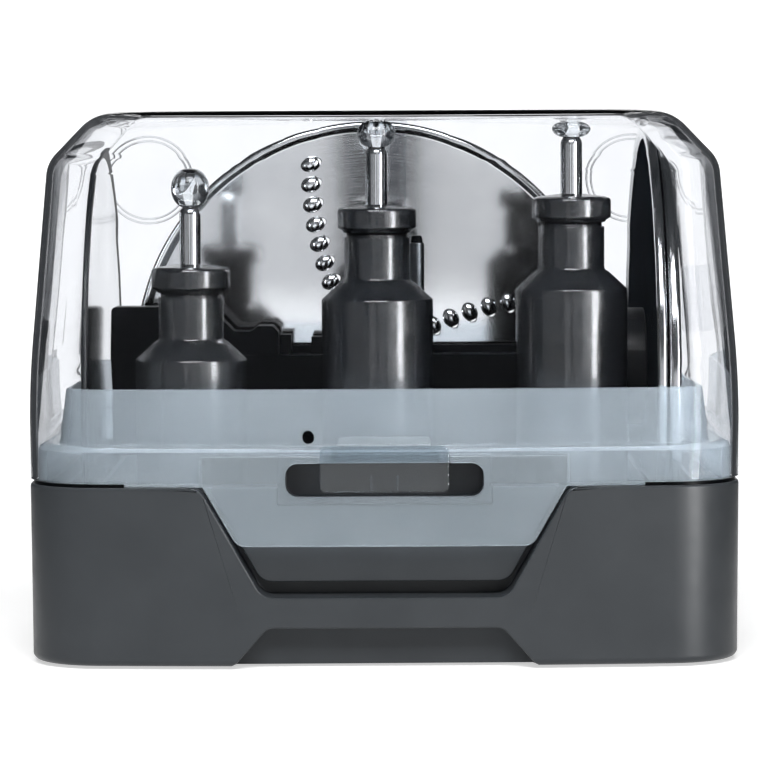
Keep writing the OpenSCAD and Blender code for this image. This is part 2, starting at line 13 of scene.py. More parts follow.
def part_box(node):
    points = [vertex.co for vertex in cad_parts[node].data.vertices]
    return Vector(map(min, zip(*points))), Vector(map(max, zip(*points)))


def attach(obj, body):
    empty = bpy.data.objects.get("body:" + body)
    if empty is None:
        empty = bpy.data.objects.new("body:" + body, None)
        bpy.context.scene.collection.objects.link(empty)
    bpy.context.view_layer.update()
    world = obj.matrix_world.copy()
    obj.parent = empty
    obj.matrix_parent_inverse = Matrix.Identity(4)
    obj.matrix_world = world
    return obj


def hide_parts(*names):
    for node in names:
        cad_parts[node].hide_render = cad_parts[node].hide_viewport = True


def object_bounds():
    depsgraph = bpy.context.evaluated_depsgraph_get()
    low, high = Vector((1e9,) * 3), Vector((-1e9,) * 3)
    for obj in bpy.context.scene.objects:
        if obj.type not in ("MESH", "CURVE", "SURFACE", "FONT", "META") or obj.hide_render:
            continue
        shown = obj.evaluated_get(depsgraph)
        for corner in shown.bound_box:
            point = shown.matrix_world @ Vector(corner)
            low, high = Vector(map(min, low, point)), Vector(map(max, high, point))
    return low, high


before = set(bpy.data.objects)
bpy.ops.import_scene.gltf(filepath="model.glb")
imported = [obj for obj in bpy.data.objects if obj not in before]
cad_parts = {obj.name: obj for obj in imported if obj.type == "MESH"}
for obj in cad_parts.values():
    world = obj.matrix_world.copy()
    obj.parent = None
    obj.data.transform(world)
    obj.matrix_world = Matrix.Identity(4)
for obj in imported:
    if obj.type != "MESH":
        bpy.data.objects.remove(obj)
CAD_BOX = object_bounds()
MM = 0.001


def span(node):
    """Lowest and highest corner of a CAD node, in millimetres."""
    low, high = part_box(node)
    return low / MM, high / MM


def middle(node):
    low, high = span(node)
    return (low + high) / 2


def half_width(node):
    low, high = span(node)
    return (high.x - low.x) / 2


# ---------- sizes in millimetres, read from the frame ----------

CASE_W = (CAD_BOX[1].x - CAD_BOX[0].x) / MM
CASE_D = (CAD_BOX[1].y - CAD_BOX[0].y) / MM
CASE_H = CAD_BOX[1].z / MM
HALF_W = CASE_W / 2
HALF_D = CASE_D / 2
FRONT = -HALF_D
LID_Z = span("lid_shell")[0].z
BASE_Z, RIM_Z = (corner.z for corner in span("base_shell"))
APRON_Z, GUARD_Z = (corner.z for corner in span("guard_collar"))
TAB_LO, TAB_HI = span("latch_tab")
CUP_LO, CUP_HI = span("latch_cup")

# ---------- sizes in millimetres, that the frame's boxes don't give ----------

CORNER_R = 31
BOW = 6
LID_WALL = 2.6
LID_BROW_Z = 202.6
LID_EDGE_R = 4.5
NOTCH_Z = 85.7
SEAM_UP = 1.4
SEAM_IN, SEAM_BACK = 1.4, 3.3
RING_X, RING_SHIFT, RING_Z = 110.3, 2.7, 194
RING_RADII = (18, 20)
HOLE_X0, HOLE_X1 = -32.8, -28


# ---------- outlines ----------

def points(*pairs):
    return [Vector(p) for p in pairs]


def arc(a, b, c, r, n):
    """Points of the arc of radius r that rounds corner b between its neighbours a and c."""
    u, v = (a - b).normalized(), (c - b).normalized()
    half = u.angle(v) / 2
    mid = b + (u + v).normalized() * r / math.sin(half)
    reach = r / math.tan(half)
    p, q = (b + u * reach - mid).normalized(), (b + v * reach - mid).normalized()
    return [mid + p.slerp(q, i / n) * r for i in range(n + 1)]


def rounded(outline, radii, n=8):
    """A closed outline with every corner rounded by its own radius."""
    out = []
    for i, b in enumerate(outline):
        a, c = outline[i - 1], outline[(i + 1) % len(outline)]
        out += arc(a, b, c, radii[i], n) if radii[i] > 0 else [b]
    return out


def box_outline(x0, x1, z0, z1, r, n=8):
    """A rectangle with its four corners rounded."""
    return rounded(points((x0, z0), (x1, z0), (x1, z1), (x0, z1)), [r] * 4, n)


def plan(w, d, r, n=10):
    """The case's plan: rounded corners, bulging front and back, always the same number of points."""
    k = 0.75
    side_y = BOW - d / 2
    near = Vector((k * w / 2, BOW * k * k - d / 2))
    turn = arc(near, Vector((w / 2, side_y)), Vector((w / 2, 0)), r, n)
    steps = 16
    reach = turn[0].x
    front = [Vector((x, BOW * (2 * x / w) ** 2 - d / 2))
             for x in (reach * (2 * i / steps - 1) for i in range(1, steps))]
    end = turn[-1].y
    side = [Vector((w / 2, y)) for y in (end * 0.97, end * 0.5, 0, -end * 0.5, -end * 0.97)]
    right = turn + side + [Vector((p.x, -p.y)) for p in reversed(turn)]
    back = [Vector((-p.x, -p.y)) for p in front]
    left = [Vector((-p.x, -p.y)) for p in right]
    return front + right + back + left


def inset_plan(d, front=None):
    """The case's plan moved in by d at the sides and by front, or d, at the front and back."""
    return plan(CASE_W - 2 * d, CASE_D - 2 * (d if front is None else front), max(CORNER_R - d, 3))


# ---------- meshes ----------

def mesh_object(name, verts, faces):
    mesh = bpy.data.meshes.new(name)
    mesh.from_pydata([Vector(v) * MM for v in verts], [], faces)
    mesh.validate()
    piece = bpy.data.objects.new(name, mesh)
    bpy.context.scene.collection.objects.link(piece)
    fix_normals(piece)
    return piece


def fix_normals(piece, slack=0.002, flat=None):
    """Merges points closer than slack (mm) and faces flatter than flat (degrees), and turns faces out."""
    bm = bmesh.new()
    bm.from_mesh(piece.data)
    bmesh.ops.remove_doubles(bm, verts=bm.verts, dist=slack * MM)
    if flat:
        bmesh.ops.dissolve_limit(bm, angle_limit=math.radians(flat), verts=bm.verts, edges=bm.edges)
    bmesh.ops.recalc_face_normals(bm, faces=bm.faces)
    bm.to_mesh(piece.data)
    bm.free()


def loft(name, rings, ring_shaped=False):
    """A closed solid through rings of equal length. A ring-shaped one joins its last ring to its first."""
    n = len(rings[0])
    verts = [p for ring in rings for p in ring]
    rows = len(rings)
    faces = []
    for k in range(rows if ring_shaped else rows - 1):
        below, above = k * n, (k + 1) % rows * n
        faces += [(below + i, below + (i + 1) % n, above + (i + 1) % n, above + i) for i in range(n)]
    if not ring_shaped:
        faces += [tuple(reversed(range(n))), tuple(range((rows - 1) * n, rows * n))]
    return mesh_object(name, verts, faces)


def level(outline, z):
    return [(p.x, p.y, z) for p in outline]


def prism(name, outline, near, far, axis="Y"):
    """An outline in XZ pulled along Y, in YZ pulled along X, or in XY pulled along Z."""
    places = {
        "X": lambda p, t: (t, p.x, p.y),
        "Y": lambda p, t: (p.x, t, p.y),
        "Z": lambda p, t: (p.x, p.y, t)}
    return loft(name, [[places[axis](p, t) for p in outline] for t in (near, far)])


def spin(name, profile, at=(0, 0, 0), turn=(0, 0, 0), steps=96):
    """A closed outline of (radius, height) points turned about its axis."""
    rows = []
    for i in range(steps):
        a = math.tau * i / steps
        rows.append([(p.x * math.cos(a), p.x * math.sin(a), p.y) for p in profile])
    piece = loft(name, rows, ring_shaped=True)
    piece.data.transform(Matrix.Translation(Vector(at) * MM) @ Euler(turn).to_matrix().to_4x4())
    fix_normals(piece)
    return piece


def applied(piece):
    """Turns a piece's modifiers into mesh."""
    bpy.context.view_layer.update()
    graph = bpy.context.evaluated_depsgraph_get()
    mesh = bpy.data.meshes.new_from_object(piece.evaluated_get(graph))
    piece.modifiers.clear()
    piece.data = mesh
    return piece


def combine(piece, other, operation):
    """Boolean of two closed meshes. The second one is used up."""
    mod = piece.modifiers.new("combine", "BOOLEAN")
    mod.operation = operation
    mod.solver = "EXACT"
    mod.object = other
    applied(piece)
    bpy.data.objects.remove(other)
    return piece


def cut(piece, *tools):
    for tool in tools:
        combine(piece, tool, "DIFFERENCE")
    return piece


def joined(name, *pieces):
    """One object from several, each keeping its own closed solids."""
    bm = bmesh.new()
    for p in pieces:
        bm.from_mesh(p.data)
        bpy.data.objects.remove(p)
    mesh = bpy.data.meshes.new(name)
    bm.to_mesh(mesh)
    bm.free()
    piece = bpy.data.objects.new(name, mesh)
    bpy.context.scene.collection.objects.link(piece)
    return piece


def soften(piece, width, angle=32, segments=3, clamp=True):
    """Rounds the sharp edges by width millimetres and evens out the shading."""
    fix_normals(piece, 0.02 if width else 0.002, 0.15 if width else None)
    for face in piece.data.polygons:
        face.use_smooth = True
    if width:
        bevel = piece.modifiers.new("edges", "BEVEL")
        bevel.width = width * MM
        bevel.segments = segments
        bevel.limit_method = "ANGLE"
        bevel.angle_limit = math.radians(angle)
        bevel.miter_outer = "MITER_ARC"
        bevel.use_clamp_overlap = clamp
    shade = piece.modifiers.new("shading", "WEIGHTED_NORMAL")
    shade.keep_sharp = True
    shade.weight = 60
    return piece


def refined(node, width):
    """A CAD node's own shape with its flats made whole and its edges rounded."""
    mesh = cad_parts[node].data.copy()
    mesh.materials.clear()
    piece = bpy.data.objects.new(node + "_look", mesh)
    bpy.context.scene.collection.objects.link(piece)
    bm = bmesh.new()
    bm.from_mesh(mesh)
    bmesh.ops.remove_doubles(bm, verts=bm.verts, dist=0.01 * MM)
    bmesh.ops.dissolve_limit(bm, angle_limit=math.radians(0.6), verts=bm.verts, edges=bm.edges)
    bm.to_mesh(mesh)
    bm.free()
    return soften(piece, width, 30, 2)


def stand_for(piece, node, body, material):
    """The piece rides on a body, replaces a CAD node, which is hidden, and wears a material."""
    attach(piece, body)
    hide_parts(node)
    wear(piece, material)
    return piece


def wear(piece, material):
    piece.data.materials.clear()
    piece.data.materials.append(material)


# ---------- materials ----------

def linear(r, g, b):
    """Linear colour from the usual 0 to 255 screen values."""
    return tuple((c / 255 / 12.92 if c <= 10 else ((c / 255 + 0.055) / 1.055) ** 2.4) for c in (r, g, b))


class Shader:
    """A node material under construction: add() puts in a node, sets its inputs and links its sources."""

    def __init__(self, name):
        self.material = bpy.data.materials.new(name)
        self.material.use_nodes = True
        self.tree = self.material.node_tree
        self.tree.nodes.clear()
        self.where = self.add("ShaderNodeTexCoord").outputs["Object"]

    def add(self, kind, inputs=None, **settings):
        node = self.tree.nodes.new(kind)
        for key, value in settings.items():
            setattr(node, key, value)
        for key, value in (inputs or {}).items():
            if isinstance(value, bpy.types.NodeSocket):
                self.tree.links.new(value, node.inputs[key])
            else:
                node.inputs[key].default_value = value
        return node

    def noise(self, scale, detail=3.0, source=None, **settings):
        node = self.add("ShaderNodeTexNoise", {"Scale": scale, "Detail": detail}, **settings)
        socket = "W" if settings.get("noise_dimensions") == "1D" else "Vector"
        self.tree.links.new(source or self.where, node.inputs[socket])
        return node.outputs["Fac"]

    def range(self, fac, low, high):
        node = self.add("ShaderNodeMapRange", {"Value": fac, "From Min": 0.3, "From Max": 0.7,
                                               "To Min": low, "To Max": high})
        return node.outputs["Result"]

    def tint(self, fac, low, high):
        return self.add("ShaderNodeMix", {0: fac, 6: (*low, 1), 7: (*high, 1)}, data_type="RGBA").outputs[2]

    def bump(self, height, depth):
        inputs = {"Height": height, "Distance": depth * MM, "Strength": 1.0}
        return self.add("ShaderNodeBump", inputs).outputs["Normal"]

    def lit_through(self, body, colour):
        """The body's shader, which lamp light passes, tinted, to reach what is behind it."""
        clear = self.add("ShaderNodeBsdfTransparent", {"Color": (*colour, 1)})
        path = self.add("ShaderNodeLightPath")
        mix = self.add("ShaderNodeMixShader", {
            0: path.outputs["Is Shadow Ray"], 1: body.outputs[0], 2: clear.outputs[0]})
        return mix.outputs[0]

    def done(self, shader):
        self.add("ShaderNodeOutputMaterial", {"Surface": shader})
        return self.material


def plastic(name, dark, light, rough, grain, grain_scale, mottle=45, shine=0.5):
    """Moulded plastic: two close tones, uneven gloss and a fine moulded grain."""
    s = Shader(name)
    tone = s.range(s.noise(mottle, 5), 0, 1)
    gloss = s.range(s.noise(mottle * 3.3, 4), rough - 0.04, rough + 0.05)
    normal = s.bump(s.noise(grain_scale, 2), grain)
    bsdf = s.add("ShaderNodeBsdfPrincipled", {
        "Base Color": s.tint(tone, linear(*dark), linear(*light)), "Roughness": gloss, "Normal": normal,
        "Specular IOR Level": shine})
    return s.done(bsdf.outputs[0])


def turned_steel(name, centre, dark=(196, 198, 200), light=(222, 223, 224), rough=0.12, depth=0.004):
    """Steel with fine turning marks around a centre."""
    s = Shader(name)
    hub = tuple(c * MM for c in centre)
    away = s.add("ShaderNodeVectorMath", {0: s.where, 1: hub}, operation="DISTANCE").outputs["Value"]
    marks = s.noise(2600, 3, away, noise_dimensions="1D")
    soft = s.noise(24, 3)
    bsdf = s.add("ShaderNodeBsdfPrincipled", {
        "Base Color": s.tint(s.range(soft, 0, 1), linear(*dark), linear(*light)), "Metallic": 1.0,
        "Roughness": s.range(marks, rough - 0.03, rough + 0.05), "Normal": s.bump(marks, depth)})
    return s.done(bsdf.outputs[0])


def polished_steel(name, rough=0.07):
    """Bright steel with faint lengthwise wipe marks."""
    s = Shader(name)
    along = s.add("ShaderNodeMapping", {"Vector": s.where, "Scale": (900, 900, 25)}).outputs["Vector"]
    wipe = s.noise(1.0, 3, along)
    bsdf = s.add("ShaderNodeBsdfPrincipled", {
        "Base Color": s.tint(s.range(wipe, 0, 1), linear(205, 207, 209), linear(228, 229, 230)),
        "Metallic": 1.0, "Roughness": s.range(wipe, rough, rough + 0.06), "Normal": s.bump(wipe, 0.002)})
    return s.done(bsdf.outputs[0])


def glass(name, ior=1.5, rough=0.0, tone=(240, 241, 243), shade=0.9, waviness=0.0015, gleam=0.35):
    """Clear moulded plastic that lets lamp light through to what is inside."""
    s = Shader(name)
    flow = s.noise(35, 2)
    haze = s.range(s.noise(160, 4), rough, rough + 0.02)
    body = s.add("ShaderNodeBsdfPrincipled", {
        "Base Color": s.tint(s.range(flow, 0, 1), linear(*(c - 3 for c in tone)), linear(*tone)),
        "Roughness": haze, "IOR": ior, "Transmission Weight": 1.0, "Normal": s.bump(flow, waviness),
        "Specular Tint": (gleam, gleam, gleam, 1)})
    return s.done(s.lit_through(body, (shade, shade, shade)))


def frosted(name):
    """Milky plastic: some of it is its own face, some glows with light from behind, the rest is clear."""
    s = Shader(name)
    cloud = s.noise(30, 4)
    grain = s.noise(1500, 2)
    face = s.add("ShaderNodeBsdfPrincipled", {
        "Base Color": s.tint(s.range(cloud, 0, 1), linear(166, 176, 183), linear(178, 188, 195)),
        "Roughness": s.range(grain, 0.3, 0.4), "Normal": s.bump(grain, 0.004), "IOR": 1.45,
        "Specular Tint": (0.6, 0.6, 0.6, 1)})
    glow = s.add("ShaderNodeBsdfTranslucent", {
        "Color": s.tint(s.range(cloud, 0, 1), linear(214, 221, 226), linear(224, 230, 235))})
    milk = s.add("ShaderNodeMixShader", {0: 0.42, 1: face.outputs[0], 2: glow.outputs[0]})
    through = s.add("ShaderNodeBsdfPrincipled", {
        "Base Color": s.tint(s.range(cloud, 0, 1), linear(222, 228, 233), linear(230, 235, 239)),
        "Roughness": s.range(grain, 0.02, 0.05), "IOR": 1.3, "Transmission Weight": 1.0,
        "Normal": s.bump(grain, 0.003), "Specular Tint": (0.5, 0.5, 0.5, 1)})
    body = s.add("ShaderNodeMixShader", {0: 0.7, 1: milk.outputs[0], 2: through.outputs[0]})
    return s.done(s.lit_through(body, (0.55, 0.58, 0.6)))


BASE_PLASTIC = plastic("base_plastic", (46, 49, 52), (51, 54, 57), 0.38, 0.012, 2600, shine=0.22)
TRAY_PLASTIC = plastic("tray_plastic", (19, 21, 23), (26, 28, 31), 0.5, 0.012, 2200, shine=0.25)
RACK_PLASTIC = plastic("rack_plastic", (4, 5, 6), (9, 10, 12), 0.3, 0.006, 1800, shine=0.03)
HUB_PLASTIC = plastic("hub_plastic", (15, 17, 19), (20, 22, 25), 0.18, 0.006, 2400, shine=0.95)
DISC_PLASTIC = plastic("disc_plastic", (14, 16, 18), (20, 22, 25), 0.38, 0.006, 2000, shine=0.25)
CARRIER_PLASTIC = plastic("carrier_plastic", (16, 19, 23), (26, 30, 35), 0.6, 0.01, 1500, shine=0.0)
RUBBER = plastic("foot_rubber", (24, 24, 25), (33, 33, 34), 0.75, 0.03, 900)
LID_CLEAR = glass("lid_clear", gleam=0.05)
TAB_CLEAR = glass("tab_clear", rough=0.01, tone=(206, 214, 220), shade=0.7, gleam=0.7)
KNOB_CLEAR = glass("knob_clear", ior=1.55, tone=(243, 247, 250), waviness=0.003, gleam=1.0)
FROSTED = frosted("frosted_plastic")
BRIGHT = polished_steel("bright_steel")
DARK_STEEL = turned_steel("dark_steel", (14, -22, 0), (84, 88, 92), (104, 108, 112), 0.3)
SCREW_STEEL = turned_steel("screw_steel", (0, 0, 0), (150, 152, 155), (180, 182, 184), 0.28)


# ---------- base ----------

def notch_outline(grow):
    """The trapezoid of the notch, with a wider opening above the rim."""
    top, foot, foot_z, beyond = 74 + grow, 49 + grow, 29 - grow, 104
    return rounded(points(
        (-beyond, RIM_Z), (-top, RIM_Z), (-foot, foot_z), (foot, foot_z), (top, RIM_Z),
        (beyond, RIM_Z), (beyond, RIM_Z + 20), (-beyond, RIM_Z + 20)), [0, 8, 8, 8, 8, 0, 0, 0])


def pocket(grow):
    """The deep scoop behind the apron."""
    return prism("pocket", notch_outline(grow), FRONT - 6, FRONT + 17 + grow)


def pocket_lip(window):
    """The block that hangs in the scoop with a gap round it, its front sloping back at the foot."""
    foot_z, face = 34.6, FRONT + 7.2
    side = points((face + 2.4, foot_z), (FRONT + 24, foot_z), (FRONT + 24, RIM_Z), (face, RIM_Z),
                  (face, APRON_Z + 2))
    outline = rounded(points((-49.4, foot_z), (49.4, foot_z), (70.6, RIM_Z), (-70.6, RIM_Z)), [7, 7, 2, 2])
    block = prism("pocket_lip", outline, FRONT + 5, FRONT + 20)
    combine(block, prism("lip_side", side, -HALF_W, HALF_W, "X"), "INTERSECT")
    cut(block, window)
    return applied(soften(block, 0.8, 34, 3))


def finger_recess(grow):
    """The finger recess under the front, its sides flaring out at the floor."""
    foot, top, foot_z, top_z, beyond = 61 + grow, 47 + grow, BASE_Z - 0.4, 16.7 + grow, 90
    outline = rounded(points(
        (-beyond, -3), (beyond, -3), (beyond, foot_z), (foot, foot_z), (top, top_z),
        (-top, top_z), (-foot, foot_z), (-beyond, foot_z)), [0, 0, 0, 6, 6, 6, 6, 0])
    return prism("finger_recess", outline, FRONT - 4, FRONT + 12 + grow)


def base_outline():
    """Inset and height of the base's outside, from its floor to its rim."""
    draft, draft_from, draft_over, foot_r = 0.5, 12, 62, 3
    bend = [math.radians(15 * k) for k in range(7)]
    rows = [(draft + foot_r * (1 - math.sin(a)), BASE_Z + foot_r * (1 - math.cos(a))) for a in bend]
    rows += [(draft - draft * (z - draft_from) / draft_over, z) for z in (20, 35, 50, 62, RIM_Z - 1.1)]
    return rows + [(0.06, RIM_Z - 0.9), (0.25, RIM_Z - 0.35), (0.62, RIM_Z - 0.06), (0.95, RIM_Z)]


def build_base():
    shell = loft("base_body", [level(inset_plan(d), z) for d, z in base_outline()])
    hollow = loft("base_hollow", [
        level(inset_plan(d), z) for d, z in ((3.5, BASE_Z + 2.7), (3.1, 20), (3, RIM_Z - 6))])
    cut(hollow, pocket(3), finger_recess(3))
    ledge = loft("base_ledge", [level(inset_plan(6), z) for z in (RIM_Z - 6.5, RIM_Z + 3)])
    block = loft("block", [level(inset_plan(1.2), z) for z in (RIM_Z - 7, RIM_Z)])
    behind = combine(pocket(3), block, "INTERSECT")
    cut(shell, hollow, ledge)
    combine(shell, behind, "UNION")
    cut(shell, pocket(0), finger_recess(0), cup_window())
    applied(soften(shell, 0.75, 34, 3, clamp=False))
    body = joined("base_look", shell, pocket_lip(cup_window()))
    stand_for(soften(body, 0), "base_shell", "base", BASE_PLASTIC)
    # A bead in the seam between the base's rim and the lid, worn in the rack's near-black plastic: the seam
    # is real, its blackness is painted shade for the shadow in the gap.
    seam = loft("seam_lip", [level(inset_plan(d), z) for d, z in (
        (SEAM_IN, RIM_Z - 1), (SEAM_IN, RIM_Z + SEAM_UP), (SEAM_BACK, RIM_Z + SEAM_UP),
        (SEAM_BACK, RIM_Z - 1))], ring_shaped=True)
    cut(seam, pocket(0))
    stand_for(soften(seam, 0.2), "base_shell", "base", RACK_PLASTIC)


def cup_window():
    """Room in the base's front wall for the latch cup."""
    gap = 0.4
    outline = box_outline(CUP_LO.x - gap, CUP_HI.x + gap, CUP_LO.z - gap, RIM_Z + 4, 0.6, 2)
    return prism("window", outline, FRONT + 1, CUP_HI.y + gap)


# ---------- collar with its apron ----------

def build_collar():
    """The collar from rings of height, inset at the sides and inset at the front, with the apron on it."""
    outside = (
        (RIM_Z, 3.4, 3.4), (RIM_Z + 14, 3.4, 3.4), (RIM_Z + 15.6, 4.1, 3.9), (RIM_Z + 16.3, 5.6, 4.6),
        (RIM_Z + 16.5, 8, 5.6), (RIM_Z + 16.6, 12, 7), (RIM_Z + 17.4, 12.7, 7.5), (RIM_Z + 20, 13, 7.8),
        (GUARD_Z - 1.2, 15.3, 9.2), (GUARD_Z - 0.4, 15.5, 9.4), (GUARD_Z, 16.1, 9.9))
    inside = (
        (GUARD_Z - 0.2, 17.2, 10.9), (RIM_Z + 18.6, 15.2, 9.6), (RIM_Z + 15.2, 14.2, 8.6),
        (RIM_Z + 14.2, 12.6, 7.4), (RIM_Z + 13.8, 6.2, 6), (RIM_Z + 12.6, 5.8, 5.8), (RIM_Z, 5.8, 5.8))
    rings = [level(inset_plan(side, front), z) for z, side, front in outside + inside]
    ring = loft("collar", rings, ring_shaped=True)
    top, foot, apron_back = 72.9, 58.9, FRONT + 5.8
    outline = rounded(points(
        (-top, NOTCH_Z - 0.4), (-top, RIM_Z + 0.9), (-foot, APRON_Z), (foot, APRON_Z), (top, RIM_Z + 0.9),
        (top, NOTCH_Z - 0.4)), [0, 3, 6, 6, 3, 0])
    apron = prism("apron", outline, FRONT - 1, apron_back)
    within = loft("apron_front", [level(inset_plan(0), z) for z in (APRON_Z - 2, GUARD_Z)])
    combine(apron, within, "INTERSECT")
    combine(ring, apron, "UNION")
    slot = prism("slot", slot_outline(), FRONT - 1, FRONT + 12)
    tab_room = box_outline(TAB_LO.x - 0.8, TAB_HI.x + 0.8, TAB_LO.z - 0.9, NOTCH_Z + 1, 2.6)
    recess = prism("tab_recess", tab_room, FRONT - 1, FRONT + 2.9)
    cup_room = box_outline(CUP_LO.x - 0.1, CUP_HI.x + 0.1, CUP_LO.z - 1, CUP_HI.z + 0.1, 1)
    behind = prism("cup_room", cup_room, apron_back, FRONT + 20)
    hole = prism("guard_hole", box_outline(HOLE_X0, HOLE_X1, 90, 95.4, 2.3), FRONT - 1, FRONT + 14)
    cut(ring, slot, recess, behind, hole)
    stand_for(soften(ring, 0.7, 34, 3), "guard_collar", "base", FROSTED)


def slot_outline():
    """The slot for the latch, smaller than the cup behind it all round."""
    edge = 3
    return box_outline(CUP_LO.x + edge, CUP_HI.x - edge, CUP_LO.z + edge, CUP_HI.z - edge, 5)


# ---------- lid ----------

def lid_profile(d):
    """Half width, half depth, corner radius and height of the lid's outside, moved in by d."""
    n, foot_z, upright_z, slope_r, brow_r, top_r = 10, 55, 113, 400, 14, 20
    side = rounded(points(
        (HALF_W, upright_z), (HALF_W - 8.4, LID_BROW_Z), (HALF_W - 28.2, CASE_H), (0, CASE_H), (0, foot_z),
        (HALF_W, foot_z)), [slope_r, brow_r, top_r, 0, 0, 0], n)
    deep = rounded(points(
        (HALF_D - 3.5, CASE_H), (0, CASE_H), (0, foot_z), (HALF_D + 0.5, foot_z)), [LID_EDGE_R, 0, 0, 0], n)
    side_fall = [Vector((HALF_W, foot_z))] + side[:3 * (n + 1)]
    deep_fall = [Vector((HALF_D + 0.5, foot_z))] + deep[:n + 1]
    side_in, deep_in = moved(side_fall, d), moved(deep_fall, d)
    top = CASE_H - d
    heights = sorted({round(p.y, 3) for p in side_in + deep_in if LID_Z + 4 < p.y < top - 0.02} |
                     {LID_Z + k * 12 for k in range(1, 11)})
    rows = []
    for z in [LID_Z] + heights + [top]:
        w = min(across(side_in, z), HALF_W - d)
        h = min(across(deep_in, z), HALF_D - d)
        rows.append((w, h, CORNER_R - d - 9 * (z - LID_Z) / (CASE_H - LID_Z), z))
    return rows


def moved(line, d):
    """An open line from bottom to top, moved in towards the case's middle by d."""
    out = []
    for i, p in enumerate(line):
        a, b = line[max(i - 1, 0)], line[min(i + 1, len(line) - 1)]
        t = (b - a).normalized()
        out.append(p + Vector((-t.y, t.x)) * d)
    return out


def across(line, z):
    """Where a line that climbs steadily crosses height z."""
    for p, q in zip(line, line[1:]):
        if p.y <= z <= q.y and q.y > p.y:
            return p.x + (q.x - p.x) * (z - p.y) / (q.y - p.y)
    return line[-1].x


def lid_solid(name, d, foot):
    """The lid's outside as a closed solid, moved in by d and reaching down to foot."""
    rows = lid_profile(d)
    w, h, r, z = rows[0]
    rows[0] = (w, h, r, foot)
    return loft(name, [level(plan(2 * w, 2 * h, r), z) for w, h, r, z in rows])


def build_lid():
    lid = cut(lid_solid("lid", 0, LID_Z), lid_solid("lid_room", LID_WALL, LID_Z - 2))
    ceiling = CASE_H - LID_WALL + 0.4
    rib = prism("rib", box_outline(2.5, 9.5, 176, ceiling, 1.2, 4), -38, -36.4)
    root = prism("rib_root", box_outline(2, 10, 215.5, ceiling, 0.5, 3), -40, -34)
    side_outline = rounded(points(
        (HALF_W - 15.5, 129), (HALF_W - 2.9, 129), (HALF_W - 5.6, 157), (HALF_W - 15.5, 157)),
        [1.2, 0, 0, 1.2], 4)
    side_rib = prism("side_rib", side_outline, -1.2, 1.2)
    for part in (root, rib, side_rib):
        combine(lid, part, "UNION")
    openings = {
        "notch": box_outline(-74, 74, LID_Z - 5, NOTCH_Z, 0.6, 3),
        "tab_opening": box_outline(TAB_LO.x - 0.3, TAB_HI.x + 0.3, NOTCH_Z - 2, TAB_HI.z + 0.3, 0.5, 3),
        "slit": box_outline(-18.5, 18.5, 88.4, 93.5, 1.7),
        "hole": box_outline(HOLE_X0, HOLE_X1, 89.5, 95.9, 2.35)}
    for name, outline in openings.items():
        cut(lid, prism(name, outline, FRONT - 1, FRONT + 12))
    rings = lid_rings()
    body = soften(lid, 0.45, 38, 3)
    applied(body)
    stand_for(joined("lid_look", body, rings), "lid_shell", "lid", LID_CLEAR)


def lid_rings():
    """Two pairs of thin moulded circles that lie on the inside of the back wall."""
    inner = lid_profile(LID_WALL)
    tubes = []
    for side in (-1, 1):
        for r in RING_RADII:
            centre = []
            for k in range(96):
                a = math.tau * k / 96
                x = RING_SHIFT + side * RING_X + r * math.cos(a)
                z = RING_Z + r * math.sin(a)
                y = back_wall(inner, x, z)
                if y is not None:
                    centre.append(Vector((x, y - 0.2, z)))
            tubes.append(tube("ring", centre, 0.42, len(centre) == 96))
    return joined("rings", *tubes)


def back_wall(rows, x, z):
    """How far back the lid's wall is at x and z, or None beside it."""
    for low, high in zip(rows, rows[1:]):
        if low[3] <= z <= high[3]:
            f = (z - low[3]) / (high[3] - low[3])
            w, h, r = (low[k] + (high[k] - low[k]) * f for k in range(3))
            line = [p for p in plan(2 * w, 2 * h, r, 24) if p.y > 0]
            line.sort(key=lambda p: p.x)
            for p, q in zip(line, line[1:]):
                if p.x <= x <= q.x and q.x > p.x:
                    return p.y + (q.y - p.y) * (x - p.x) / (q.x - p.x)
    return None


def tube(name, centre, r, closed):
    """A round wire along a line of points."""
    curve = bpy.data.curves.new(name, "CURVE")
    curve.dimensions = "3D"
    curve.bevel_depth = r * MM
    curve.bevel_resolution = 3
    curve.use_fill_caps = True
    spline = curve.splines.new("POLY")
    spline.points.add(len(centre) - 1)
    for point, p in zip(spline.points, centre):
        point.co = (*(p * MM), 1)
    spline.use_cyclic_u = closed
    wire = bpy.data.objects.new(name, curve)
    bpy.context.scene.collection.objects.link(wire)
    bpy.context.view_layer.update()
    mesh = bpy.data.meshes.new_from_object(wire.evaluated_get(bpy.context.evaluated_depsgraph_get()))
    bpy.data.objects.remove(wire)
    piece = bpy.data.objects.new(name, mesh)
    bpy.context.scene.collection.objects.link(piece)
    for face in mesh.polygons:
        face.use_smooth = True
    return piece


def build_tab():
    outline = box_outline(TAB_LO.x, TAB_HI.x, TAB_LO.z, TAB_HI.z, 2.6)
    tab = prism("tab", outline, FRONT - 1, FRONT + 10)
    shell = cut(loft("tab_front", [level(inset_plan(0.3), z) for z in (60, 95)]),
                loft("tab_back", [level(inset_plan(2.5), z) for z in (59, 96)]))
    combine(tab, shell, "INTERSECT")
    soften(tab, 0.5, 40, 3)
    applied(tab)
    ticks = [
        prism("tick", box_outline(x - 0.45, x + 0.45, 71.8, 77.9, 0.4, 3), FRONT + 0.08, FRONT + 0.9)
        for x in (-5.3, 5.3)]
    for tick in ticks:
        soften(tick, 0.12, 40, 2)
        applied(tick)
    stand_for(joined("tab_look", tab, *ticks), "latch_tab", "latch", TAB_CLEAR)


# ---------- blades ----------

def turned(name, outline, radii, at, steps=96, n=6):
    return spin(name, rounded(outline, radii, n), at=at, steps=steps)


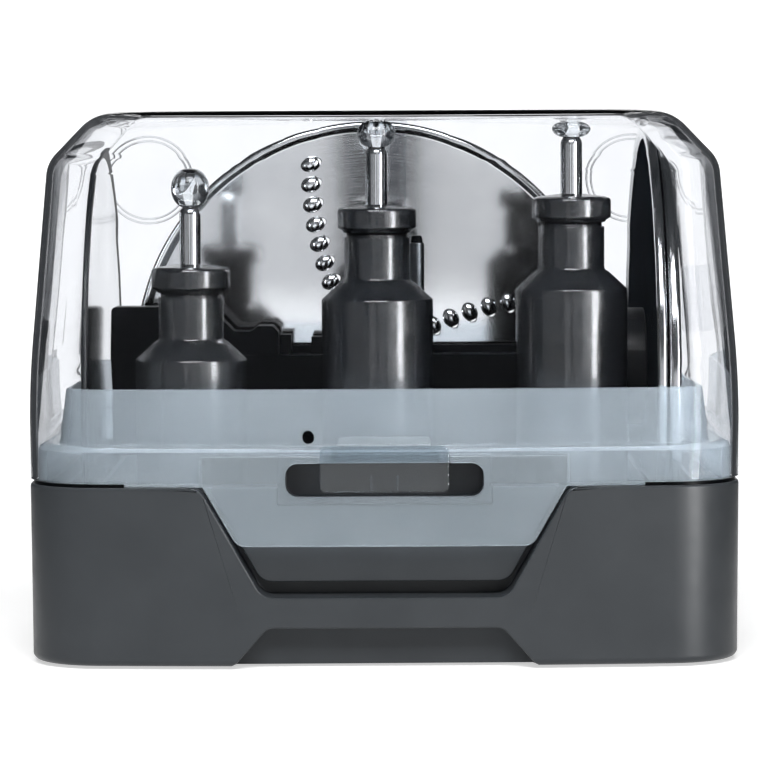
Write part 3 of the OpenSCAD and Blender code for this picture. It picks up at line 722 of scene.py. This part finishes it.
def build_blade(kind):
    """A blade's hub with its neck, the cap on it, the pin and the clear ball."""
    body = kind + "_blade"
    hub_r, cap_r, pin_r, knob_r = (half_width(f"{kind}_{part}") for part in ("hub", "cap", "pin", "knob"))
    x, y = middle(kind + "_hub").xy
    foot = span(kind + "_hub")[0].z
    cap_z, cap_top = (corner.z for corner in span(kind + "_cap"))
    pin_z, pin_top = (corner.z for corner in span(kind + "_pin"))
    knob_top = span(kind + "_knob")[1].z
    top = cap_z - foot
    neck_r, neck_tall = 13.5, 27.4
    shoulder = top - neck_tall
    hub = turned(kind + "_hub_look", points(
        (9.4, 0), (hub_r, 0), (hub_r, shoulder), (neck_r + 1.9, shoulder + 7), (neck_r, shoulder + 8.2),
        (neck_r, top - 1.8), (neck_r - 1, top - 1.6), (neck_r - 1, top - 0.05), (9, top - 0.05), (9, 60)),
        [0.4, 0.8, 1.2, 0.6, 1.4, 0.4, 0.2, 0, 0, 0], (x, y, foot))
    finish(hub, kind + "_hub", body, HUB_PLASTIC)
    h = cap_top - cap_z
    cap = turned(kind + "_cap_look", points(
        (0.01, 0), (cap_r - 2.6, 0), (cap_r - 1.8, 1), (cap_r, 2.1), (cap_r, h - 2), (cap_r - 2.4, h - 1.1),
        (pin_r + 1.6, h - 0.1), (pin_r + 0.02, h), (pin_r + 0.02, h - 2), (0.01, h - 2)),
        [0, 0.4, 0.5, 0.8, 1.5, 1, 0.4, 0.1, 0, 0], (x, y, cap_z))
    finish(cap, kind + "_cap", body, HUB_PLASTIC)
    tall = pin_top - pin_z
    pin = turned(kind + "_pin_look", points((0.01, 0), (pin_r, 0), (pin_r, tall), (0.01, tall)),
                 [0, 0.2, pin_r - 0.4, 0], (x, y, pin_z), 64, 10)
    finish(pin, kind + "_pin", body, BRIGHT)
    build_ball(kind, (x, y), pin_top, knob_top, knob_r, pin_r)


def build_ball(kind, place, pin_top, top, r, pin_r):
    """The clear ball on a pin: round at the sides, pressed flat above, with a seat for the pin's tip."""
    low = pin_top - 1.6
    half = (top - low) / 2
    curve = []
    for k in range(-9, 13):
        a = math.radians(7.5 * k)
        curve.append(Vector((r * math.cos(a) ** 0.8, half * (1 + math.sin(a)))))
    curve = [p for p in curve if p.x > 3.4 or p.y > half] + [Vector((0.01, 2 * half))]
    seat = points((0.01, 1.75), (pin_r * 0.55, 1.45), (pin_r * 0.85, 0.7), (3.0, 0.45))
    knob = spin(kind + "_knob_look", curve + seat, at=(*place, low))
    finish(knob, kind + "_knob", kind + "_blade", KNOB_CLEAR)


def finish(piece, node, body, material):
    soften(piece, 0)
    return stand_for(piece, node, body, material)


def build_post(kind):
    low, high = span(kind + "_post")
    x, y = middle(kind + "_post").xy
    r = half_width(kind + "_post")
    tall = high.z - low.z
    outline = points((0.01, 0), (r, 0), (r, tall - 4), (r - 3, tall), (0.01, tall))
    post = turned(kind + "_post_look", outline, [0, 0.3, 1.2, 0.8, 0], (x, y, low.z))
    finish(post, kind + "_post", "base", TRAY_PLASTIC)


# ---------- discs ----------

DISC_LEAN = 3.5
DISC_R, REAR_DISC_R = 103.5, 104
RIM_IN = 6
ARMS, ARM_ANGLE, ARM_CURL = 4, 119.6, 1.75
TEETH, FIRST_TOOTH, TOOTH_STEP = 8, 30.4, 8.45
TURNS = {
    "shred": (math.radians(90 + DISC_LEAN), 0, 0), "slice": (0, math.radians(-90), 0),
    "julienne": (0, math.radians(-90), 0), "fine": (0, math.radians(90), 0)}
BODIES = {
    "shred": "shredding_disc", "slice": "slicing_disc", "julienne": "julienne_disc", "fine": "fine_disc"}


def disc_part(kind, part, outline, radii, material, n=6):
    at = disc_centre(kind)
    piece = spin(f"{kind}_{part}_look", rounded(outline, radii, n), at=at, turn=TURNS[kind], steps=192)
    return finish(piece, f"{kind}_{part}", BODIES[kind], material)


def disc_centre(kind):
    """The middle of a disc's plate at its edge, where its rim sits."""
    return tuple(middle(kind + "_rim"))


def build_plain_discs():
    """The three discs at the sides: a rolled rim each, and the CAD's plates and hubs with eased edges."""
    steel_left = turned_steel("left_disc_steel", disc_centre("slice"))
    steel_right = turned_steel("right_disc_steel", disc_centre("fine"))
    thin, inner = 0.9, DISC_R - RIM_IN
    for kind, rolled, half, foot_r, edge_r, material in (
            ("slice", 2, 1.2, 0.5, 1, DISC_PLASTIC), ("julienne", 4.5, 1.9, 0.8, 1.6, steel_right),
            ("fine", 4.5, 2.5, 0.8, 2, steel_right)):
        outline = points((inner, thin), (inner, -thin), (DISC_R - rolled, -half), (DISC_R, -half),
                         (DISC_R, half), (DISC_R - rolled, half))
        disc_part(kind, "rim", outline, [0.1, 0.1, foot_r, edge_r, edge_r, foot_r], material)
    for node, width, material in (
            ("slice_plate", 0.25, steel_left), ("slice_blade", 0.3, steel_left),
            ("slice_hub", 0.5, DISC_PLASTIC), ("julienne_plate", 0.25, CARRIER_PLASTIC),
            ("julienne_hub", 0.5, DISC_PLASTIC), ("julienne_teeth", 0.15, steel_right),
            ("fine_plate", 0.2, steel_right), ("fine_hub", 0.5, DISC_PLASTIC)):
        stand_for(refined(node, width), node, BODIES[node.split("_")[0]], material)


def ellipsoid(name, size, at, turn):
    bm = bmesh.new()
    bmesh.ops.create_uvsphere(bm, u_segments=28, v_segments=18, radius=1)
    mesh = bpy.data.meshes.new(name)
    bm.to_mesh(mesh)
    bm.free()
    piece = bpy.data.objects.new(name, mesh)
    bpy.context.scene.collection.objects.link(piece)
    shape = Matrix.Diagonal((*(Vector(size) * MM), 1))
    mesh.transform(Matrix.Translation(Vector(at) * MM) @ turn.to_4x4() @ shape)
    return piece


def build_grater():
    """The rear disc: a shallow dome with four curved rows of hooded teeth."""
    into_rim, sag, thick = 1.55, 4.0, 1.6
    hood_size, mouth_size, mouth_shift = (3.5, 4.5, 2.5), (2.5, 3.8, 1.8), 1.5
    r = REAR_DISC_R - into_rim
    at, turn = disc_centre("shred"), TURNS["shred"]
    steel = turned_steel("rear_disc_steel", at, (214, 216, 218), (234, 235, 236), 0.1, 0.002)

    def rise(s):
        return sag * (1 - (s / r) ** 2)

    knots = [r * k / 28 for k in range(29)]
    outline = [Vector((max(s, 0.01), rise(s) - thick / 2)) for s in knots]
    outline += [Vector((max(s, 0.01), rise(s) + thick / 2)) for s in reversed(knots)]
    plate = spin("shred_plate_look", outline, steps=192)
    hoods, mouths = [], []
    for arm in range(ARMS):
        for k in range(TEETH):
            s = FIRST_TOOTH + TOOTH_STEP * k
            a = math.radians(ARM_ANGLE - ARM_CURL * k + 360 / ARMS * arm)
            spot = Vector((s * math.cos(a), s * math.sin(a), rise(s)))
            lean = Matrix.Rotation(a, 3, "Z")
            side = lean @ Vector((0, 1, 0))
            in_hood = spot + Vector((0, 0, 0.2))
            in_mouth = spot - side * mouth_shift + Vector((0, 0, 0.15))
            hoods.append(ellipsoid("hood", hood_size, in_hood, lean))
            mouths.append(ellipsoid("mouth", mouth_size, in_mouth, lean))
    combine(plate, joined("hoods", *hoods), "UNION")
    cut(plate, joined("mouths", *mouths))
    plate.data.transform(Matrix.Translation(Vector(at) * MM) @ Euler(turn).to_matrix().to_4x4())
    soften(plate, 0.18, 40, 2)
    stand_for(plate, "shred_plate", "shredding_disc", steel)
    edge, inner, half = REAR_DISC_R, REAR_DISC_R - RIM_IN, 1.8
    disc_part("shred", "rim", points(
        (inner, 0.95), (inner, -0.95), (edge - 4.5, -half), (edge, -half), (edge, half), (edge - 2.4, half),
        (edge - 4.4, 1.1)), [0.1, 0.1, 0.8, 1.7, 1.7, 1, 0.6], steel, 8)
    stand_for(refined("shred_hub", 0.5), "shred_hub", "shredding_disc", DISC_PLASTIC)


# ---------- small parts ----------

def corners(low, high, r):
    """The four places where a round thing of radius r touches two sides of a box."""
    return [(x, y) for x in (low.x + r, high.x - r) for y in (low.y + r, high.y - r)]


def build_feet():
    low, high = span("foot_pads")
    r = 9
    outline = points((0.01, 0), (r, 0), (r, high.z), (0.01, high.z))
    feet = [turned("foot", outline, [0, 0.6, 0, 0], (x, y, 0), 48) for x, y in corners(low, high, r)]
    finish(joined("feet_look", *feet), "foot_pads", "base", RUBBER)


def build_screws():
    """Domed screws with a cross drive."""
    low, high = span("base_screws")
    head_r, shank_r, head, drive = 3.5, 1.6, 2.4, 1.3
    tall = high.z - low.z
    shank = tall - head
    outline = points((0.01, 0), (shank_r, 0), (shank_r, shank), (head_r, shank), (head_r, shank + 0.7),
                     (2.4, tall), (0.01, tall))
    screws = []
    for x, y in corners(low, high, head_r):
        body = turned("screw", outline, [0, 0.3, 0, 0.1, 0.4, 1.2, 0], (x, y, low.z), 40)
        for w, h in ((3.4, 0.8), (0.8, 3.4)):
            bar = box_outline(-w / 2, w / 2, -h / 2, h / 2, 0.2, 2)
            cross = prism("drive", bar, high.z - drive, high.z + 1, "Z")
            cut(body, shifted(cross, x, y))
        screws.append(body)
    finish(joined("screws_look", *screws), "base_screws", "base", SCREW_STEEL)


def shifted(piece, x, y):
    piece.data.transform(Matrix.Translation(Vector((x, y, 0)) * MM))
    return piece


def build_spindle():
    low, high = span("spindle_shaft")
    x, y = middle("spindle_shaft").xy
    r = half_width("spindle_shaft")
    tall = high.z - low.z
    shaft = turned("spindle_shaft_look", points((0.01, 0), (r, 0), (r, tall), (0.01, tall)),
                   [0, 0.3, 0.5, 0], (x, y, low.z), 64)
    finish(shaft, "spindle_shaft", "spindle", DARK_STEEL)
    low, high = span("spindle_cap")
    r = half_width("spindle_cap")
    tall = high.z - low.z
    top = turned("spindle_cap_look", points((0.01, 0), (r, 0), (r - 0.5, tall), (0.01, tall)),
                 [0, 0.1, 0.6, 0], (x, y, low.z), 64)
    finish(top, "spindle_cap", "spindle", RACK_PLASTIC)
    stand_for(refined("spindle_coupler", 0.4), "spindle_coupler", "spindle", DISC_PLASTIC)


def build_refined():
    """The pieces whose CAD shape is right, with eased edges."""
    for node, body, width, material in (
            ("inner_tray", "base", 0.5, TRAY_PLASTIC), ("disc_rack", "base", 0.6, RACK_PLASTIC),
            ("latch_cup", "base", 0.4, TRAY_PLASTIC), ("mini_blades", "mini_blade", 0.2, BRIGHT),
            ("dough_paddles", "dough_blade", 0.8, HUB_PLASTIC),
            ("quad_blades_low", "quad_blade", 0.2, BRIGHT),
            ("quad_blades_high", "quad_blade", 0.2, BRIGHT)):
        stand_for(refined(node, width), node, body, material)


build_base()
build_collar()
build_lid()
build_tab()
for kind in ("mini", "dough", "quad"):
    build_blade(kind)
    build_post(kind)
build_grater()
build_plain_discs()
build_feet()
build_screws()
build_spindle()
build_refined()


# ---------- stage, lamps and camera ----------

def sweep():
    """A pale strip of paper, in metres, that lies under the case and curves up behind it."""
    wide, bend_y, bend_r = 0.45, 1.4, 0.8
    line = points((-1.15, 0), (0.5, 0), (bend_y, 0))
    for k in range(1, 11):
        a = math.radians(9 * k)
        line.append(Vector((bend_y + bend_r * math.sin(a), bend_r * (1 - math.cos(a)))))
    line.append(Vector((bend_y + bend_r, 2.2)))
    verts = [(x, p.x, p.y) for p in line for x in (-wide, wide)]
    faces = [(2 * k, 2 * k + 1, 2 * k + 3, 2 * k + 2) for k in range(len(line) - 1)]
    mesh = bpy.data.meshes.new("sweep")
    mesh.from_pydata(verts, [], faces)
    floor = bpy.data.objects.new("sweep", mesh)
    bpy.context.scene.collection.objects.link(floor)
    for face in mesh.polygons:
        face.use_smooth = True
    s = Shader("sweep_paper")
    fibre = s.noise(60, 3)
    away = s.add("ShaderNodeSeparateXYZ", {0: s.where}).outputs["Y"]
    glow = s.add("ShaderNodeMapRange", {
        "Value": away, "From Min": 0.15, "From Max": 1.3, "To Min": 0.56, "To Max": 0.95}).outputs["Result"]
    paper = s.add("ShaderNodeBsdfPrincipled", {
        "Base Color": s.tint(s.range(fibre, 0, 1), (0.58, 0.58, 0.58), (0.61, 0.61, 0.61)),
        "Roughness": 0.9, "Specular IOR Level": 0.1,
        "Emission Color": (1, 1, 1, 1), "Emission Strength": glow})
    mesh.materials.append(s.done(paper.outputs[0]))


def lamp(name, at, aim, size, power):
    """A rectangle of light, in metres and watts."""
    light = bpy.data.lights.new(name, "AREA")
    light.shape = "RECTANGLE"
    light.size, light.size_y = size
    light.energy = power
    lamp_object = bpy.data.objects.new(name, light)
    bpy.context.scene.collection.objects.link(lamp_object)
    lamp_object.location = at
    lamp_object.rotation_euler = (Vector(aim) - Vector(at)).to_track_quat("-Z", "Y").to_euler()
    return lamp_object


def lights():
    """Low cards that the gloss mirrors, a box above for the matt surfaces and a strip for the edges."""
    world = bpy.data.worlds.new("studio")
    bpy.context.scene.world = world
    world.use_nodes = True
    background = world.node_tree.nodes["Background"]
    background.inputs["Color"].default_value = (0.045, 0.048, 0.052, 1)
    background.inputs["Strength"].default_value = 1.0
    lamp("front_left_card", (-0.4, -2.45, 0.08), (-0.4, 0, 0.08), (0.58, 0.64), 1.15)
    lamp("front_right_card", (0.38, -2.45, 0.08), (0.38, 0, 0.08), (0.54, 0.64), 0.95)
    lamp("left_card", (-1.15, -1.3, 0.12), (0, 0, 0.1), (1.3, 0.7), 1.1)
    lamp("right_card", (0.98, -1.75, 0.12), (0, 0, 0.1), (0.7, 0.7), 2.4)
    softbox = lamp("front_softbox", (0, -1.5, 1.6), (0, 0, 0.1), (1.4, 0.9), 66)
    softbox.visible_glossy = False
    strip = lamp("right_strip", (0.99, -0.95, 0.25), (0, 0, 0.12), (0.27, 1.2), 44)
    strip.visible_diffuse = False


CAMERA_AT = (0.0004, -1.622, 0.208)
CAMERA_DOWN, CAMERA_ROLL = 3.57, 0.27
CAMERA_LENS, CAMERA_SENSOR = 177.4, 36


def camera():
    lens = bpy.data.cameras.new("camera")
    lens.lens = CAMERA_LENS
    lens.sensor_width = CAMERA_SENSOR
    lens.clip_end = 20
    view = bpy.data.objects.new("camera", lens)
    bpy.context.scene.collection.objects.link(view)
    view.location = CAMERA_AT
    view.rotation_euler = (math.radians(90 - CAMERA_DOWN), math.radians(CAMERA_ROLL), 0)
    bpy.context.scene.camera = view


def render_settings():
    scene = bpy.context.scene
    scene.view_settings.view_transform = "Standard"
    scene.view_settings.look = "None"
    scene.cycles.max_bounces = 24
    scene.cycles.transmission_bounces = 20
    scene.cycles.transparent_max_bounces = 24
    scene.cycles.glossy_bounces = 8
    scene.cycles.diffuse_bounces = 4
    scene.cycles.use_denoising = True
    scene.cycles.sample_clamp_indirect = 8


sweep()
lights()
camera()
render_settings()
